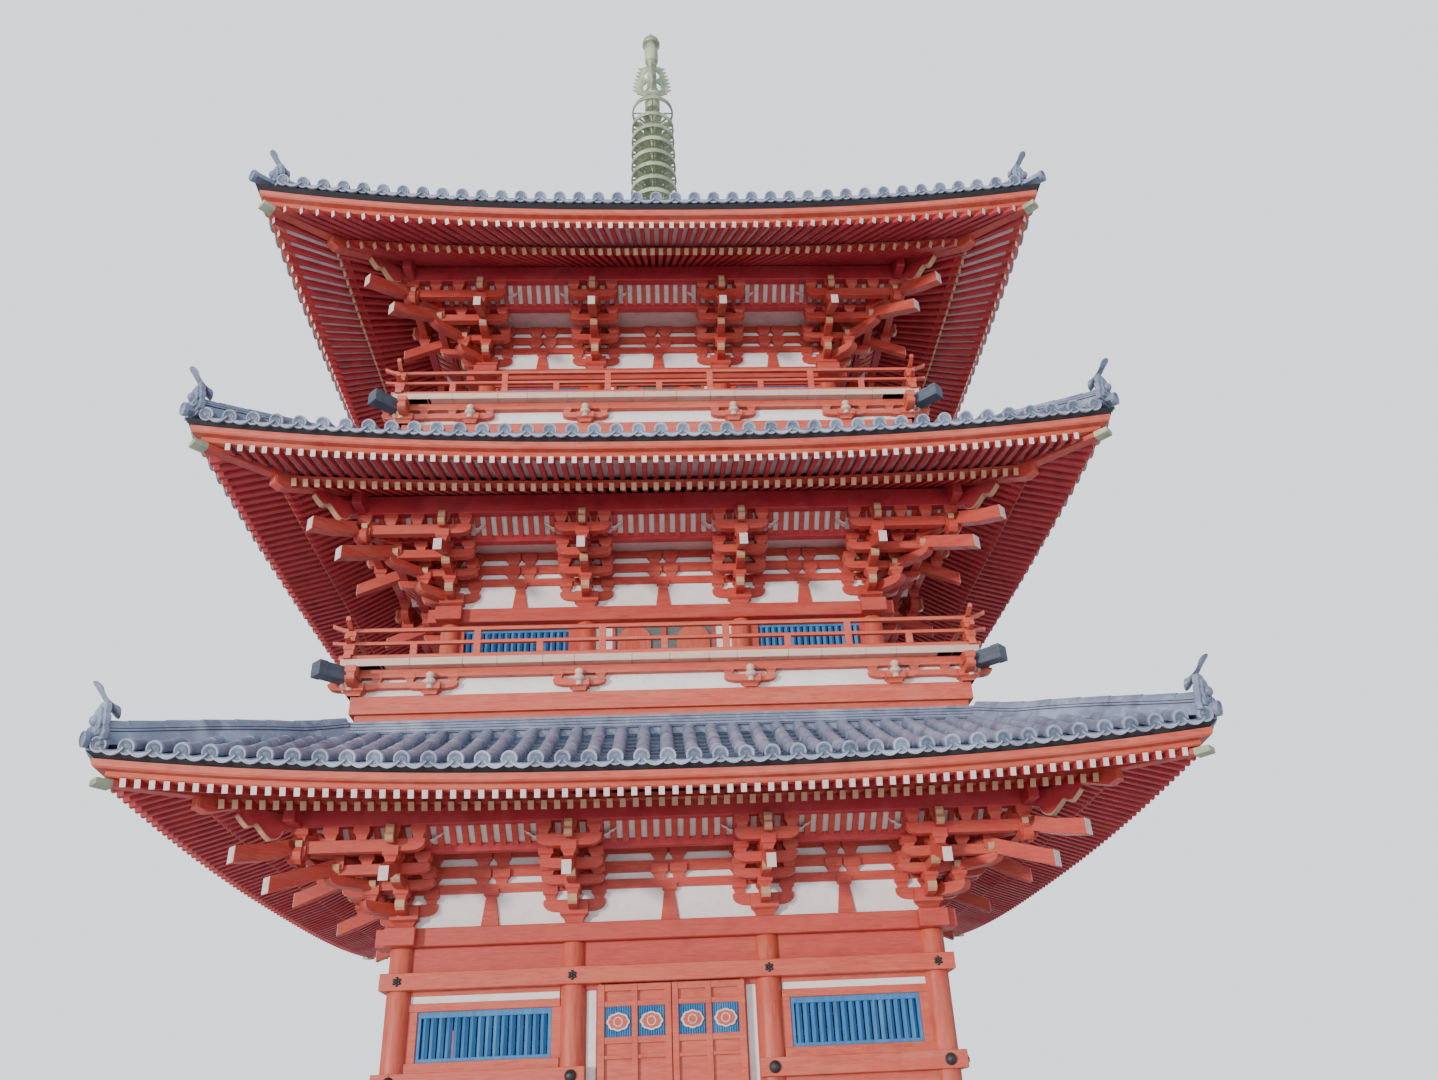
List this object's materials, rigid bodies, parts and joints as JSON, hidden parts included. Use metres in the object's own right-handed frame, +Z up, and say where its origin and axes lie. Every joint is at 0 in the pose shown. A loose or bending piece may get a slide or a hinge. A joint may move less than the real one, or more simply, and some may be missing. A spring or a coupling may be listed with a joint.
{
  "type": "three-storied timber pagoda",
  "caption": "Japanese pagoda in vermilion timber on a stone podium, with tiled roofs on stepped brackets, railed balconies, a bronze finial and hinged front doors.",
  "frame": {"origin": "ground level under the centre of the plan", "axes": "+Z up, front with the hinged doors and steps faces -Y, +X to the right of someone facing the front"},
  "size_m": [10.1278, 10.1278, 20.86],
  "materials": {
    "vermilion_timber": "weathered vermilion paint on timber, matte",
    "white_plaster": "lime plaster, matte",
    "white_paint": "white paint on the ends of rafters and arms, matte",
    "ochre_paint": "pale ochre paint on the ends of base rafters and carved noses, matte",
    "lattice_paint": "blue-green paint on window bars, matte",
    "pale_wood": "weathered boards, matte",
    "roof_tile": "smoked clay roof tile, weathered, half matte",
    "stone": "dressed granite, matte",
    "bronze": "weathered bronze with pale green patina",
    "dark_iron": "blackened iron studs, half matte"
  },
  "bodies": {
    "pagoda": {"podium": "stone", "front_steps": "stone", "ground_floor": "vermilion_timber", "first_pillars": "vermilion_timber", "first_upper_tie_beam": "vermilion_timber", "front_wall_right": "vermilion_timber", "front_wall_left": "vermilion_timber", "right_wall_back": "vermilion_timber", "right_wall_front": "vermilion_timber", "back_wall_left": "vermilion_timber", "back_wall_right": "vermilion_timber", "left_wall_front": "vermilion_timber", "left_wall_back": "vermilion_timber", "front_right_waist_tie": "vermilion_timber", "back_right_waist_tie": "vermilion_timber", "back_left_waist_tie": "vermilion_timber", "front_left_waist_tie": "vermilion_timber", "front_door_frame": "vermilion_timber", "right_doors": "vermilion_timber", "back_doors": "vermilion_timber", "left_doors": "vermilion_timber", "first_wall_plate": "vermilion_timber", "first_brackets": "vermilion_timber", "first_eave_purlin": "vermilion_timber", "first_rafters": "vermilion_timber", "first_fascia": "vermilion_timber", "first_roof_tiles": "roof_tile", "first_ridges": "roof_tile", "second_balcony_base": "vermilion_timber", "second_deck": "pale_wood", "second_railing": "vermilion_timber", "second_pillars": "vermilion_timber", "second_walls": "white_plaster", "second_wall_plate": "vermilion_timber", "second_brackets": "vermilion_timber", "second_eave_purlin": "vermilion_timber", "second_rafters": "vermilion_timber", "second_fascia": "vermilion_timber", "second_roof_tiles": "roof_tile", "second_ridges": "roof_tile", "third_balcony_base": "vermilion_timber", "third_deck": "pale_wood", "third_railing": "vermilion_timber", "third_pillars": "vermilion_timber", "third_walls": "white_plaster", "third_wall_plate": "vermilion_timber", "third_brackets": "vermilion_timber", "third_eave_purlin": "vermilion_timber", "third_rafters": "vermilion_timber", "third_fascia": "vermilion_timber", "third_roof_tiles": "roof_tile", "third_ridges": "roof_tile", "finial_base": "bronze", "finial_shaft": "bronze", "finial_flame": "bronze", "finial_jewel": "bronze"},
    "left_door": {"front_left_door": "vermilion_timber"},
    "right_door": {"front_right_door": "vermilion_timber"}
  },
  "joints": [
    {"name": "left_door_hinge", "type": "hinge", "parent": "pagoda", "child": "left_door", "pos_m": [-0.692, -2.7, 0.97], "axis": [0, 0, -1], "range_deg": [0, 90]},
    {"name": "right_door_hinge", "type": "hinge", "parent": "pagoda", "child": "right_door", "pos_m": [0.692, -2.7, 0.97], "axis": [0, 0, 1], "range_deg": [0, 90]}
  ]
}
